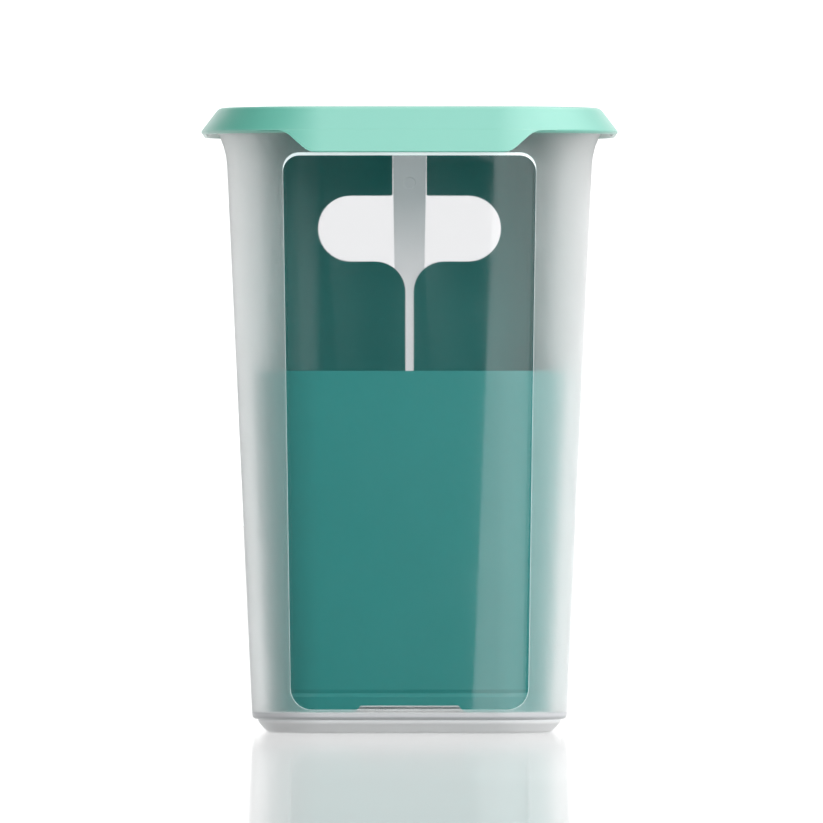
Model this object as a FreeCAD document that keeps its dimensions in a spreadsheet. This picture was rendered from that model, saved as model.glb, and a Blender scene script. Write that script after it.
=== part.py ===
"""Square pickle keeper: a tapered container, a rest bar on its rear wall, a lift strainer and a lid.

Millimetres, +Z up, the origin on the table under the middle of the keeper. The front faces -Y.
Every level of every piece is a square with rounded corners, and all the corner arcs share the same
four upright axes. One section swept round such a square therefore makes each moulded wall.
"""
import FreeCAD, Part
import Sketcher
import math
import os
import re

Vector = FreeCAD.Vector

# Driving dimensions. A "half" is the distance from the middle of the keeper to a face.
SIZES = {
    # Plan shared by all pieces
    "corner_centre": 28.0,      # from the middle planes to the upright axis of each corner
    "end_flat": 0.02,           # straight left in the middle of a fully rounded end
    # Container
    "step_height": 4.4,         # where the wall ends; the foot is rounded over this height
    "step_in": 1.8,             # from the wall in to the foot
    "foot_ring": 2.6,           # width of the ring that the container stands on
    "foot_recess": 4.0,         # depth of the hollow under the floor
    "floor_thick": 2.4,
    "floor_bevel": 2.0,         # inside, between floor and wall
    "body_half": 50.3,          # wall, at the step
    "wall_lean": 0.046,         # outwards per unit of height
    "wall_thick": 2.0,
    "rim_height": 195.6,
    "rim_tall": 2.4,            # upright edge of the rim
    "flare_tall": 7.0,          # from the neck up to that edge
    "neck_ease": 3.2,           # the bend at the neck runs this far up and down from it
    "rim_out": 3.24,            # from the wall out to the rim
    "rim_thick": 2.2,
    # Windows, polished and a little sunk, front and rear
    "window_rise": 3.2,         # above the step
    "window_drop": 1.1,         # below the neck
    "window_half_low": 37.9,
    "window_half_high": 40.4,
    "window_round_low": 7.0,
    "window_round_high": 5.2,
    "window_depth": 0.4,
    # Strainer
    "strainer_gap": 3.0,        # clearance from the container's wall
    "strainer_wall": 1.6,
    "basket_stand": 5.7,        # the skirt that holds the perforated floor up
    "basket_floor_thick": 1.6,
    "basket_bevel": 2.4,        # inside, between floor and wall
    "basket_height": 115.8,     # top of the front and side walls
    "handle_drop": 0.6,         # from the container's rim down to the handle's top
    "handle_edge": 31.0,        # front edge of the handle's wrapped sides
    "handle_foot_radius": 20.0,
    "handle_top_radius": 9.0,
    "drain_tall": 2.5,
    "drain_half_low": 18.0,
    "drain_half_high": 15.6,
    "hole_half": 2.2,           # square holes in the floor
    "hole_pitch": 13.0,
    "hole_rows": 5,
    "grip_drop": 22.0,          # from the handle's top down to the finger opening
    "grip_tall": 21.4,
    "grip_half": 29.8,
    "shoulder_radius": 9.8,     # where the opening runs into the slot
    "slot_half": 1.35,
    "slot_long": 88.8,
    "notch_round": 1.0,
    # Rest bar
    "bar_half_high": 5.5,
    "bar_half_low": 4.2,
    "bar_drop": 8.0,            # from the handle's top down to the bar's
    "bar_toe": 9.7,             # the bar ends this far above where it would thin out to nothing
    "bar_face_gap": 0.4,        # behind the handle, level with the shoulders
    "bar_side_gap": 0.35,       # in the handle's notch
    "bar_top_gap": 0.6,
    "bar_edge": 0.5,
    "mark_radius": 1.9,
    "mark_drop": 9.9,           # below the bar's top
    "mark_depth": 0.25,
    # Lid
    "lid_rise": 4.4,            # above the container's rim
    "lid_draw": 0.9,            # from the rim in to where the top meets the skirt, before rounding
    "lid_top_radius": 2.8,
    "skirt_out": 5.0,           # from the rim out to the skirt's widest line
    "skirt_drop": 3.3,          # from the rim down to that line
    "skirt_thick": 2.0,
    "lip_tall": 0.9,            # the lip under the widest line
    "lip_taper": 0.7,           # how far it draws in
    "plug_gap": 0.55,           # clearance from the container's neck
    "plug_thick": 1.4,
    "plug_deep": 4.4,           # below the rim
    "lid_plate": 1.8,
    "panel_in": 11.5,           # from the rim in to the sunk middle of the lid
    "panel_sink": 2.1,
    "panel_slope": 2.0,
    "tab_tall": 7.2,            # below the skirt's widest line
    "tab_half_high": 40.0,
    "tab_slant": 8.0,           # each end of the tab draws in by this much
    "tab_radius": 7.0,
    "tab_thick": 2.2,           # measured level
    "tab_lean": 5.5,            # the lower edge's reach beyond the widest line, at the skirt's slant
}

# Levels and halves that follow from the driving dimensions.
FOLLOWS = {
    "flare_height": "rim_height - rim_tall",
    "neck_height": "flare_height - flare_tall",
    "neck_half": "body_half + (neck_height - step_height) * wall_lean",
    "rim_half": "neck_half + rim_out",
    "foot_half": "body_half - step_in",
    "floor_top": "foot_recess + floor_thick",
    "window_low": "step_height + window_rise",
    "window_high": "neck_height - window_drop",
    "basket_under": "floor_top + basket_stand",
    "basket_floor": "basket_under + basket_floor_thick",
    "drain_high": "floor_top + drain_tall",
    "handle_height": "rim_height - handle_drop",
    "grip_high": "handle_height - grip_drop",
    "grip_low": "grip_high - grip_tall",
    "slot_low": "grip_low - slot_long",
    "bar_high": "handle_height - bar_drop",
    "bar_low": "grip_low - (strainer_gap - bar_face_gap) / wall_lean + bar_toe",
    "mark_height": "bar_high - mark_drop",
    "lid_top": "rim_height + lid_rise",
    "lid_top_half": "rim_half - lid_draw",
    "skirt_half": "rim_half + skirt_out",
    "skirt_height": "rim_height - skirt_drop",
    "skirt_low": "skirt_height - lip_tall",
    "panel_half": "rim_half - panel_in",
    "tab_low": "skirt_height - tab_tall",
    "tab_half_low": "tab_half_high - tab_slant",
}


doc = FreeCAD.newDocument("PickleKeeper")
sheet = doc.addObject("Spreadsheet::Sheet", "Sizes")
for row, (alias, value) in enumerate(SIZES.items(), start=1):
    sheet.set(f"A{row}", alias)
    sheet.set(f"B{row}", str(value))
    sheet.setAlias(f"B{row}", alias)
doc.recompute()


def read_name(match):
    """What a name in a formula stands for: a cell of the sheet, another formula or itself."""
    name = match[0]
    if name in FOLLOWS:
        return f"({bound(FOLLOWS[name])})"
    return f"Sizes.{name}" if name in SIZES else name


def bound(formula):
    """The formula with each size's name read from the sheet."""
    return re.sub(r"[a-z]\w+", read_name, str(formula))


def number(formula):
    """What the formula comes to with the present sizes."""
    return float(sheet.evalExpression(bound(formula)))


def outer_half(height):
    """Half-width of the container's leaning wall at a height."""
    return f"(body_half + (({height}) - step_height) * wall_lean)"


def inner_half(height):
    return f"({outer_half(height)} - wall_thick)"


def strainer_half(height):
    return f"({inner_half(height)} - strainer_gap)"


def flare_half(height):
    """Half-width of the container's outer face where it flares, between neck and rim."""
    return f"(neck_half + rim_out * ({height} - neck_height) / flare_tall)"


def flats(centre, radius, start, end, count):
    """Corners of a rounding made of a few flats: points about the centre, from angle to angle."""
    turns = [f"({start} + ({end} - {start}) * {i} / {count})" for i in range(count + 1)]
    x, y = centre
    return [(f"{x} + {radius} * cos({turn})", f"{y} + {radius} * sin({turn})") for turn in turns]


# ---- Sketches -------------------------------------------------------------------------------

def new_body(label):
    body = doc.addObject("PartDesign::Body", label)
    body.Label = label
    return body


def new_sketch(body, name, role, offset="0"):
    """An empty sketch on one of the body's own planes, moved along that plane's normal."""
    sketch = body.newObject("Sketcher::SketchObject", name)
    plane = next(o for o in body.Origin.OriginFeatures if o.Role == role)
    sketch.AttachmentSupport = (plane, [""])
    sketch.MapMode = "FlatFace"
    sketch.setExpression("AttachmentOffset.Base.z", bound(offset))
    return sketch


def fix(sketch, kind, *where, formula):
    """A dimension that follows its formula."""
    index = sketch.addConstraint(Sketcher.Constraint(kind, *where, number(formula)))
    sketch.setExpression(f"Constraints[{index}]", bound(formula))


def place_point(sketch, geometry, point, x, y):
    """Holds a point at x, y from the sketch's origin."""
    fix(sketch, "DistanceX", -1, 1, geometry, point, formula=x)
    fix(sketch, "DistanceY", -1, 1, geometry, point, formula=y)


def draw_outline(sketch, corners):
    """A closed outline through corners (x, y) or (x, y, radius), given as formulas.

    A rounded corner keeps its place as a construction point where its two sides would meet.
    """
    spots = [Vector(number(c[0]), number(c[1]), 0) for c in corners]
    radii = [c[2] if len(c) > 2 else None for c in corners]
    count = len(corners)
    starts, ends, arcs = [None] * count, [None] * count, {}
    for i, spot in enumerate(spots):
        before = (spots[i - 1] - spot).normalize()
        after = (spots[(i + 1) % count] - spot).normalize()
        if radii[i] is None:
            ends[i - 1], starts[i] = spot, spot
            continue
        radius = number(radii[i])
        half_angle = before.getAngle(after) / 2
        reach = radius / math.tan(half_angle)
        ends[i - 1], starts[i] = spot + before * reach, spot + after * reach
        centre = spot + (before + after).normalize() * (radius / math.sin(half_angle))
        middle = centre + (spot - centre).normalize() * radius
        arcs[i] = Part.Arc(ends[i - 1], middle, starts[i])
    lines = [sketch.addGeometry(Part.LineSegment(a, b)) for a, b in zip(starts, ends)]
    for i, (x, y, *_) in enumerate(corners):
        before, after = lines[i - 1], lines[i]
        if i not in arcs:
            sketch.addConstraint(Sketcher.Constraint("Coincident", before, 2, after, 1))
            place_point(sketch, after, 1, x, y)
            continue
        arc = sketch.addGeometry(arcs[i])
        turned = sketch.getPoint(arc, 1).distanceToPoint(ends[i - 1]) > 1e-6
        first, last = (2, 1) if turned else (1, 2)
        corner = sketch.addGeometry(Part.Point(spots[i]), True)
        sketch.addConstraint(Sketcher.Constraint("Tangent", before, 2, arc, first))
        sketch.addConstraint(Sketcher.Constraint("Tangent", arc, last, after, 1))
        sketch.addConstraint(Sketcher.Constraint("PointOnObject", corner, 1, before))
        sketch.addConstraint(Sketcher.Constraint("PointOnObject", corner, 1, after))
        fix(sketch, "Radius", arc, formula=radii[i])
        place_point(sketch, corner, 1, x, y)
    return sketch


def draw_square(sketch, half):
    """A square whose rounded corners turn about the shared corner axes."""
    corners = [(-1, -1), (1, -1), (1, 1), (-1, 1)]
    radius = f"{half} - corner_centre"
    return draw_outline(sketch, [(f"{x} * ({half})", f"{y} * ({half})", radius) for x, y in corners])


# ---- Features -------------------------------------------------------------------------------

def sweep(body, name, corners):
    """The section through corners (half, height, radius) swept round the plan."""
    path = draw_square(new_sketch(body, f"{name}_path", "XY_Plane"), "body_half")
    section = draw_outline(new_sketch(body, f"{name}_section", "XZ_Plane"), corners)
    doc.recompute()
    feature = body.newObject("PartDesign::AdditivePipe", name)
    feature.Profile = section
    feature.Spine = path
    doc.recompute()
    return feature


def slab(body, name, half, low, high):
    """A flat plate on the plan, between two heights."""
    sketch = draw_square(new_sketch(body, f"{name}_outline", "XY_Plane", low), half)
    feature = body.newObject("PartDesign::Pad", name)
    feature.Profile = sketch
    feature.setExpression("Length", bound(f"({high}) - ({low})"))
    doc.recompute()
    return feature


def pocket_through(body, name, sketch, both_sides, reverse=False):
    """A cut through everything, on one side of the sketch or on both."""
    before = body.Shape.Volume
    feature = body.newObject("PartDesign::Pocket", name)
    feature.Profile = sketch
    feature.Type = "ThroughAll"
    feature.SideType = "Symmetric" if both_sides else "One side"
    feature.Reversed = reverse
    doc.recompute()
    if not feature.Shape.Volume < before - 1e-3:
        raise RuntimeError(f"{name} cuts nothing")
    return feature


def round_edges(body, name, radius, chosen):
    """Fillets those edges of the body's last feature that the test chooses."""
    base = body.Tip
    names = [f"Edge{i}" for i, edge in enumerate(base.Shape.Edges, start=1) if chosen(edge)]
    feature = body.newObject("PartDesign::Fillet", name)
    feature.Base = (base, names)
    feature.setExpression("Radius", bound(radius))
    doc.recompute()
    return feature


def prism(label, corners, role="XZ_Plane"):
    """A tool: the outline run through the whole keeper, both ways."""
    body = new_body(label)
    feature = body.newObject("PartDesign::Pad", f"{label}_run")
    feature.Profile = draw_outline(new_sketch(body, f"{label}_outline", role), corners)
    feature.SideType = "Symmetric"
    feature.setExpression("Length", bound("4 * skirt_half"))
    doc.recompute()
    return body


def boolean(kind, label, base, tool):
    """A Part boolean of two objects."""
    result = doc.addObject(f"Part::{kind}", label)
    result.Label = label
    result.Base = base
    result.Tool = tool
    doc.recompute()
    return result


# ---- Container ------------------------------------------------------------------------------

def make_container():
    shell = new_body("container_shell")
    recess_half = "foot_half - step_height - foot_ring"
    neck_inner = "rim_half - rim_thick"
    bend_low, bend_high = "neck_height - neck_ease", "neck_height + neck_ease"
    bevel_high = "floor_top + floor_bevel"
    sweep(shell, "container_wall", [
        (recess_half, "0"),
        *flats(("foot_half - step_height", "step_height"), "step_height", "-90deg", "0deg", 3),
        ("body_half", "step_height"),
        (outer_half(bend_low), bend_low),
        (flare_half(bend_high), bend_high),
        ("rim_half", "flare_height"),
        ("rim_half", "rim_height"),
        (neck_inner, "rim_height"),
        (neck_inner, "flare_height"),
        (f"{flare_half(bend_high)} - rim_thick", bend_high),
        (inner_half(bend_low), bend_low),
        (inner_half(bevel_high), bevel_high),
        (f"{inner_half('floor_top')} - floor_bevel", "floor_top"),
        (recess_half, "floor_top"),
    ])
    slab(shell, "container_floor", f"{recess_half} + foot_ring / 2", "foot_recess", "floor_top")
    return shell


def make_windows():
    """What the two polished windows take off the wall's outer face."""
    band = new_body("window_band")
    spare = "wall_thick"
    sweep(band, "window_skin", [
        (f"{outer_half('window_low')} - window_depth", "window_low"),
        (f"{outer_half('window_low')} + {spare}", "window_low"),
        (f"{outer_half('window_high')} + {spare}", "window_high"),
        (f"{outer_half('window_high')} - window_depth", "window_high"),
    ])
    outline = prism("window_outline", [
        ("-window_half_low", "window_low", "window_round_low"),
        ("window_half_low", "window_low", "window_round_low"),
        ("window_half_high", "window_high", "window_round_high"),
        ("-window_half_high", "window_high", "window_round_high"),
    ])
    return boolean("Common", "window_recess", band, outline)


# ---- Rest bar -------------------------------------------------------------------------------

BAR_FACE = f"({strainer_half('grip_low')} + bar_face_gap)"


def make_bar():
    """An upright face on a leaning wall: the bar thins out downwards, until it meets the wall."""
    bar = new_body("rest_bar")
    front = draw_outline(new_sketch(bar, "bar_front", "XZ_Plane", f"-{BAR_FACE}"), [
        ("-bar_half_low", "bar_low"),
        ("bar_half_low", "bar_low"),
        ("bar_half_high", "bar_high"),
        ("-bar_half_high", "bar_high"),
    ])
    strip = bar.newObject("PartDesign::Pad", "bar_strip")
    strip.Profile = front
    strip.Reversed = True
    strip.setExpression("Length", bound(f"{inner_half('bar_high')} - {BAR_FACE} + wall_thick"))
    doc.recompute()
    beyond = f"{inner_half('bar_high')} + 2 * wall_thick"
    behind = draw_outline(new_sketch(bar, "bar_back", "YZ_Plane"), [
        (inner_half("bar_low - wall_thick"), "bar_low - wall_thick"),
        (beyond, "bar_low - wall_thick"),
        (beyond, "bar_high + wall_thick"),
        (inner_half("bar_high + wall_thick"), "bar_high + wall_thick"),
    ])
    pocket_through(bar, "bar_seat", behind, both_sides=True)
    face = number(BAR_FACE)
    top = number("bar_high")
    round_edges(bar, "bar_rounding", "bar_edge", lambda edge: (
        all(abs(v.Y - face) < 1e-4 for v in edge.Vertexes)
        and max(v.Z for v in edge.Vertexes) > top - 1e-4
    ))
    mark = new_sketch(bar, "mark_outline", "XZ_Plane", f"-{BAR_FACE}")
    ring = mark.addGeometry(Part.Circle(Vector(0, number("mark_height"), 0), Vector(0, 0, 1), 1))
    place_point(mark, ring, 3, "0", "mark_height")
    fix(mark, "Radius", ring, formula="mark_radius")
    dimple = bar.newObject("PartDesign::Pocket", "mark")
    dimple.Profile = mark
    dimple.setExpression("Length", bound("mark_depth"))
    doc.recompute()
    return bar


# ---- Strainer -------------------------------------------------------------------------------

def pierce_floor(body):
    """A square grid of square holes, from one hole repeated along X and then along Y."""
    reach = "(hole_rows - 1) * hole_pitch"
    corners = [(-1, -1), (1, -1), (1, 1), (-1, 1)]
    sketch = draw_outline(new_sketch(body, "hole_outline", "XY_Plane", "basket_floor"), [
        (f"{x} * hole_half - {reach} / 2", f"{y} * hole_half - {reach} / 2") for x, y in corners
    ])
    hole = body.newObject("PartDesign::Pocket", "hole")
    hole.Profile = sketch
    hole.setExpression("Length", bound("2 * basket_floor_thick"))
    doc.recompute()
    rows = body.newObject("PartDesign::MultiTransform", "holes")
    steps = []
    for name, axis in (("hole_row", "H_Axis"), ("hole_column", "V_Axis")):
        step = body.newObject("PartDesign::LinearPattern", name)
        step.Direction = (sketch, [axis])
        step.setExpression("Length", bound(reach))
        step.setExpression("Occurrences", bound("hole_rows"))
        steps.append(step)
    rows.Originals = [hole]
    rows.Transformations = steps
    body.Tip = rows
    doc.recompute()


def make_strainer():
    basket = new_body("strainer")
    floor_half = f"{strainer_half('basket_floor')} - strainer_wall"
    skirt_inner = f"{strainer_half('floor_top')} - strainer_wall"
    bevel_high = "basket_floor + basket_bevel"
    sweep(basket, "strainer_wall_ring", [
        (strainer_half("floor_top"), "floor_top"),
        (strainer_half("handle_height"), "handle_height"),
        (f"{strainer_half('handle_height')} - strainer_wall", "handle_height"),
        (f"{strainer_half(bevel_high)} - strainer_wall", bevel_high),
        (f"{floor_half} - basket_bevel", "basket_floor"),
        (f"{floor_half} - 2 * basket_bevel", "basket_floor"),
        (f"{floor_half} - 2 * basket_bevel", "basket_under"),
        (skirt_inner, "basket_under"),
        (skirt_inner, "floor_top"),
    ])
    slab(basket, "strainer_floor", f"{floor_half} - 1.5 * basket_bevel", "basket_under", "basket_floor")

    # Front and side walls stop at the basket's height. Only the handle goes on up, at the rear.
    ahead, above = "-2 * body_half", "handle_height + 2 * strainer_wall"
    scoop = draw_outline(new_sketch(basket, "scoop_outline", "YZ_Plane"), [
        (ahead, "basket_height"),
        ("handle_edge", "basket_height", "handle_foot_radius"),
        ("handle_edge", "handle_height - handle_top_radius"),
        ("handle_edge + handle_top_radius", "handle_height"),
        ("handle_edge + handle_top_radius", above),
        (ahead, above),
    ])
    pocket_through(basket, "scoop", scoop, both_sides=True)

    # The finger opening runs down into a slot and up into a notch that clears the rest bar.
    notch = "bar_half_high + bar_side_gap"
    notch_top = "bar_high + bar_top_gap"
    ends = "grip_tall / 2 - end_flat"
    grip = draw_outline(new_sketch(basket, "grip_outline", "XZ_Plane"), [
        ("-slot_half", "slot_low", "slot_half - end_flat"),
        ("slot_half", "slot_low", "slot_half - end_flat"),
        ("slot_half", "grip_low", "shoulder_radius"),
        ("grip_half", "grip_low", ends),
        ("grip_half", "grip_high", ends),
        (notch, "grip_high", "notch_round"),
        (notch, notch_top, "notch_round"),
        (f"-({notch})", notch_top, "notch_round"),
        (f"-({notch})", "grip_high", "notch_round"),
        ("-grip_half", "grip_high", ends),
        ("-grip_half", "grip_low", ends),
        ("-slot_half", "grip_low", "shoulder_radius"),
    ])
    pocket_through(basket, "grip", grip, both_sides=False)

    # Brine runs out under the skirt on all four sides, and through the floor.
    drain = [
        ("-drain_half_low", "floor_top"),
        ("-drain_half_low", "floor_top - strainer_wall"),
        ("drain_half_low", "floor_top - strainer_wall"),
        ("drain_half_low", "floor_top"),
        ("drain_half_high", "drain_high"),
        ("-drain_half_high", "drain_high"),
    ]
    for side, role in (("front", "XZ_Plane"), ("side", "YZ_Plane")):
        notch_sketch = draw_outline(new_sketch(basket, f"{side}_drain_outline", role), drain)
        pocket_through(basket, f"{side}_drain", notch_sketch, both_sides=True)
    pierce_floor(basket)
    return basket


# ---- Lid ------------------------------------------------------------------------------------

def make_lid():
    cover = new_body("lid_cover")
    plug_low = "rim_height - plug_deep"
    plug_half = f"({flare_half(plug_low)} - rim_thick - plug_gap)"
    under = "lid_top - lid_plate"
    skirt_turn = "atan((skirt_half - lid_top_half) / (lid_top - skirt_height))"
    edge_centre = f"lid_top_half - lid_top_radius * tan((90deg - {skirt_turn}) / 2)"
    skirt_run = "(skirt_half - lid_top_half) / (lid_top - skirt_height)"
    channel = f"(lid_top_half + (lid_top - rim_height) * {skirt_run} - skirt_thick)"
    lip_inner = "skirt_half - lip_taper - skirt_thick / 2"
    sweep(cover, "lid_ring", [
        ("panel_half", "lid_top - panel_sink"),
        ("panel_half + panel_slope", "lid_top"),
        *flats((edge_centre, "lid_top - lid_top_radius"), "lid_top_radius", "90deg", skirt_turn, 2),
        ("skirt_half", "skirt_height"),
        ("skirt_half - lip_taper", "skirt_low"),
        (lip_inner, "skirt_low"),
        (channel, "rim_height"),
        (plug_half, "rim_height"),
        (plug_half, plug_low),
        (f"{plug_half} - plug_thick", plug_low),
        (f"{plug_half} - plug_thick", under),
        ("panel_half + panel_slope", under),
        ("panel_half", f"{under} - panel_sink"),
        ("panel_half - panel_slope", f"{under} - panel_sink"),
        ("panel_half - panel_slope", "lid_top - panel_sink"),
    ])
    slab(cover, "lid_panel", "panel_half - panel_slope / 2", f"{under} - panel_sink",
         "lid_top - panel_sink")

    band = new_body("tab_band")
    sweep(band, "tab_skin", [
        ("skirt_half + tab_lean", "tab_low"),
        ("skirt_half", "skirt_height"),
        ("skirt_half - tab_thick / 2", "skirt_height + lip_taper"),
        ("skirt_half - tab_thick", "skirt_height"),
        ("skirt_half - tab_thick + tab_lean", "tab_low"),
    ])
    shoulder = "tab_half_high + tab_radius"
    outline = prism("tab_outline", [
        ("-tab_half_low", "tab_low", "tab_radius"),
        ("tab_half_low", "tab_low", "tab_radius"),
        ("tab_half_high", "skirt_height", "tab_radius"),
        (shoulder, "skirt_height"),
        (shoulder, "lid_top"),
        (f"-({shoulder})", "lid_top"),
        (f"-({shoulder})", "skirt_height"),
        ("-tab_half_high", "skirt_height", "tab_radius"),
    ])
    tabs = boolean("Common", "tabs", band, outline)
    return boolean("Fuse", "lid", cover, tabs)


# ---- Assembly -------------------------------------------------------------------------------

container = boolean("Cut", "container", make_container(), make_windows())
pieces = [container, make_bar(), make_strainer(), make_lid()]
doc.recompute()

for item in doc.Objects:
    if "Invalid" in item.State or "Error" in item.State:
        raise RuntimeError(f"{item.Label}: {item.State}")
os.makedirs("parts", exist_ok=True)
for piece in pieces:
    shape = piece.Shape
    if shape.isNull() or not shape.isValid() or len(shape.Solids) != 1:
        raise RuntimeError(f"{piece.Label} is not one valid solid")
for piece in pieces:
    piece.Shape.exportStep(f"parts/{piece.Label}.step")
    print(piece.Label, round(piece.Shape.Volume, 1), piece.Shape.BoundBox)
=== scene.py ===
# %% [markdown]
# # A pickle keeper with a lift strainer
# Four moulded plastic pieces make this keeper: a frosted container with two clear windows, a bar on its
# rear wall, a teal strainer that lifts out, and a soft mint lid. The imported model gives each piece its
# place and its size. Here each piece is built again with finer roundings, and gets its real finish.

# %% Load the fixed frame
import math

import bmesh
import bpy
from mathutils import Matrix, Vector


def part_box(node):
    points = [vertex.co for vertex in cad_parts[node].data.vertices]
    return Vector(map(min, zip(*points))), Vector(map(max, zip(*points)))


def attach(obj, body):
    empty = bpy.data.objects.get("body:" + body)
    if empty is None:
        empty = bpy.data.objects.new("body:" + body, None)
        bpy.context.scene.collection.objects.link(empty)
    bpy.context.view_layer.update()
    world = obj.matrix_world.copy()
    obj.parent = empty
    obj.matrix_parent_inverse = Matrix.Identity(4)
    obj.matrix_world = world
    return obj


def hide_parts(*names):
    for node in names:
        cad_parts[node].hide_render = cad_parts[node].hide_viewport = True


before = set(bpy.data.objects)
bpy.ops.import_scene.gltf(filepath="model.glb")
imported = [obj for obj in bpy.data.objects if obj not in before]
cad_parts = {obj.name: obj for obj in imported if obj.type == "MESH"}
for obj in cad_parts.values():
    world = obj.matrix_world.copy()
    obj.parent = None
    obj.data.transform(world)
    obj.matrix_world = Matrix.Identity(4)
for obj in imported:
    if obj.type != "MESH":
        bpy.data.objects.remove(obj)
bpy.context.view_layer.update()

MM = 0.001

# %% [markdown]
# ## What the four pieces share
# Seen from above, every level of every piece is a square with rounded corners, and the corners of all
# pieces turn about the same four upright axes. That is how stacked walls keep an even gap between them.
# So one list of stations round the plan serves every wall: each has a point on a corner's axis and the
# direction that leads outwards from it.

# %% Stations round the plan
CORNER_CENTRE = 28.0        # mm from the middle planes to each corner's axis
CORNER_STEPS = 26           # steps round each quarter turn


def stations():
    """(axis, outward) round the plan. A quarter turn at each corner, straight runs between them."""
    found = []
    for quarter in range(4):
        middle = math.radians(90 * quarter + 45)
        axis = Vector((math.cos(middle), math.sin(middle))) * CORNER_CENTRE * math.sqrt(2)
        for step in range(CORNER_STEPS + 1):
            angle = math.radians(90 * (quarter + step / CORNER_STEPS))
            found.append((axis, Vector((math.cos(angle), math.sin(angle)))))
    return found


STATIONS = stations()
print(len(STATIONS), "stations round the plan")

# %% [markdown]
# ## Drawing outlines and turning them into solids
# A moulded wall has the same cross-section all the way round, so a section swept along the stations gives
# the whole wall with clean, even faces. Cut-outs are made the way a mould makes them: a prism with the
# opening's outline is taken away from the wall. Every corner radius is drawn as a fine arc first.

# %% Outlines with rounded corners
ARC_TURN = math.radians(9)      # one step of an arc turns by no more than this


def rounded(corners):
    """Points along an outline of corners (x, y) or (x, y, radius) in mm, with each radius as an arc."""
    points = []
    for i, (x, y, *radius) in enumerate(corners):
        spot = Vector((x, y))
        if not radius:
            points.append(spot)
            continue
        before = (Vector(corners[i - 1][:2]) - spot).normalized()
        after = (Vector(corners[(i + 1) % len(corners)][:2]) - spot).normalized()
        half_angle = before.angle(after) / 2
        centre = spot + (before + after).normalized() * (radius[0] / math.sin(half_angle))
        start = spot + before * (radius[0] / math.tan(half_angle)) - centre
        turn = math.copysign(math.pi - 2 * half_angle, before.x * after.y - before.y * after.x) * -1
        steps = max(2, math.ceil(abs(turn) / ARC_TURN))
        points += [centre + Matrix.Rotation(turn * s / steps, 2) @ start for s in range(steps + 1)]
    return points


# %% Solids from outlines
def new_piece(name, shape, *materials):
    """A mesh object made from a bmesh, with its faces looking outwards."""
    bmesh.ops.remove_doubles(shape, verts=shape.verts, dist=1e-7)
    bmesh.ops.recalc_face_normals(shape, faces=shape.faces)
    mesh = bpy.data.meshes.new(name)
    shape.to_mesh(mesh)
    shape.free()
    for material in materials:
        mesh.materials.append(material)
    piece = bpy.data.objects.new(name, mesh)
    bpy.context.scene.collection.objects.link(piece)
    return piece


def sweep(name, section, *materials, plates=True):
    """The section, points (half, height), run round the plan. Plates close its two ends."""
    shape = bmesh.new()
    rings = []
    for half, height in section:
        reach = half - CORNER_CENTRE
        spots = [axis + outward * reach for axis, outward in STATIONS]
        rings.append([shape.verts.new((x * MM, y * MM, height * MM)) for x, y in spots])
    for low, high in zip(rings, rings[1:] if plates else rings[1:] + rings[:1]):
        for i in range(len(STATIONS)):
            shape.faces.new((low[i - 1], low[i], high[i], high[i - 1]))
    if plates:
        shape.faces.new(rings[0])
        shape.faces.new(rings[-1])
    return new_piece(name, shape, *materials)


def prism(name, outlines, axis, start, end, *materials):
    """Flat outlines run along X, Y or Z, from start to end in mm."""
    turned = {
        "X": lambda u, v, w: Vector((w, u, v)),
        "Y": lambda u, v, w: Vector((u, w, v)),
        "Z": lambda u, v, w: Vector((u, v, w)),
    }[axis]
    shape = bmesh.new()
    for outline in outlines:
        ends = [[shape.verts.new(turned(u, v, w) * MM) for u, v in outline] for w in (start, end)]
        for i in range(len(outline)):
            shape.faces.new((ends[0][i - 1], ends[0][i], ends[1][i], ends[1][i - 1]))
        for ring in ends:
            shape.faces.new(ring)
    return new_piece(name, shape, *materials)


# %% [markdown]
# ### Cutting, joining and softening
# Booleans could stay live in Blender, but each one is settled into plain mesh here before the next begins,
# so that every step works on clean faces. Real plastic has no knife edges, so a piece whose outline was
# drawn without its radii gets a small bevel at the end. The large faces then lead the shading, which
# keeps them flat beside a narrow bevel.

# %% Cutting, joining and softening
SHARP = math.radians(35)        # an edge that turns by more than this counts as sharp
BEVEL_STEPS = 3
LARGE_FACES = 60                # how much large faces lead the shading, where 50 is even


def settle(piece):
    """Turns the piece's modifiers into plain mesh."""
    solved = piece.evaluated_get(bpy.context.evaluated_depsgraph_get())
    mesh = bpy.data.meshes.new_from_object(solved)
    old = piece.data
    piece.modifiers.clear()
    piece.data = mesh
    mesh.name = piece.name
    bpy.data.meshes.remove(old)


def combine(piece, tool, operation):
    """DIFFERENCE takes the tool away, UNION adds it and INTERSECT keeps what both share."""
    modifier = piece.modifiers.new(operation.lower(), "BOOLEAN")
    modifier.object = tool
    modifier.operation = operation
    modifier.solver = "EXACT"
    modifier.material_mode = "TRANSFER"
    settle(piece)
    bpy.data.objects.remove(tool)
    return piece


def soften(piece, width):
    """Rounds every sharp edge by width mm, or by nothing at 0, then smooths the shading."""
    if width:
        bevel = piece.modifiers.new("soften", "BEVEL")
        bevel.width = width * MM
        bevel.segments = BEVEL_STEPS
        bevel.angle_limit = SHARP
        settle(piece)
    piece.data.shade_smooth()
    piece.data.set_sharp_from_angle(angle=SHARP)
    weighted = piece.modifiers.new("even shading", "WEIGHTED_NORMAL")
    weighted.keep_sharp = True
    weighted.weight = LARGE_FACES
    print(piece.name, len(piece.data.polygons), "faces")


def dress(piece, node, body):
    """The piece stands for a CAD node, whose mesh it hides, and rides on its body."""
    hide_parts(node)
    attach(piece, body)


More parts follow.
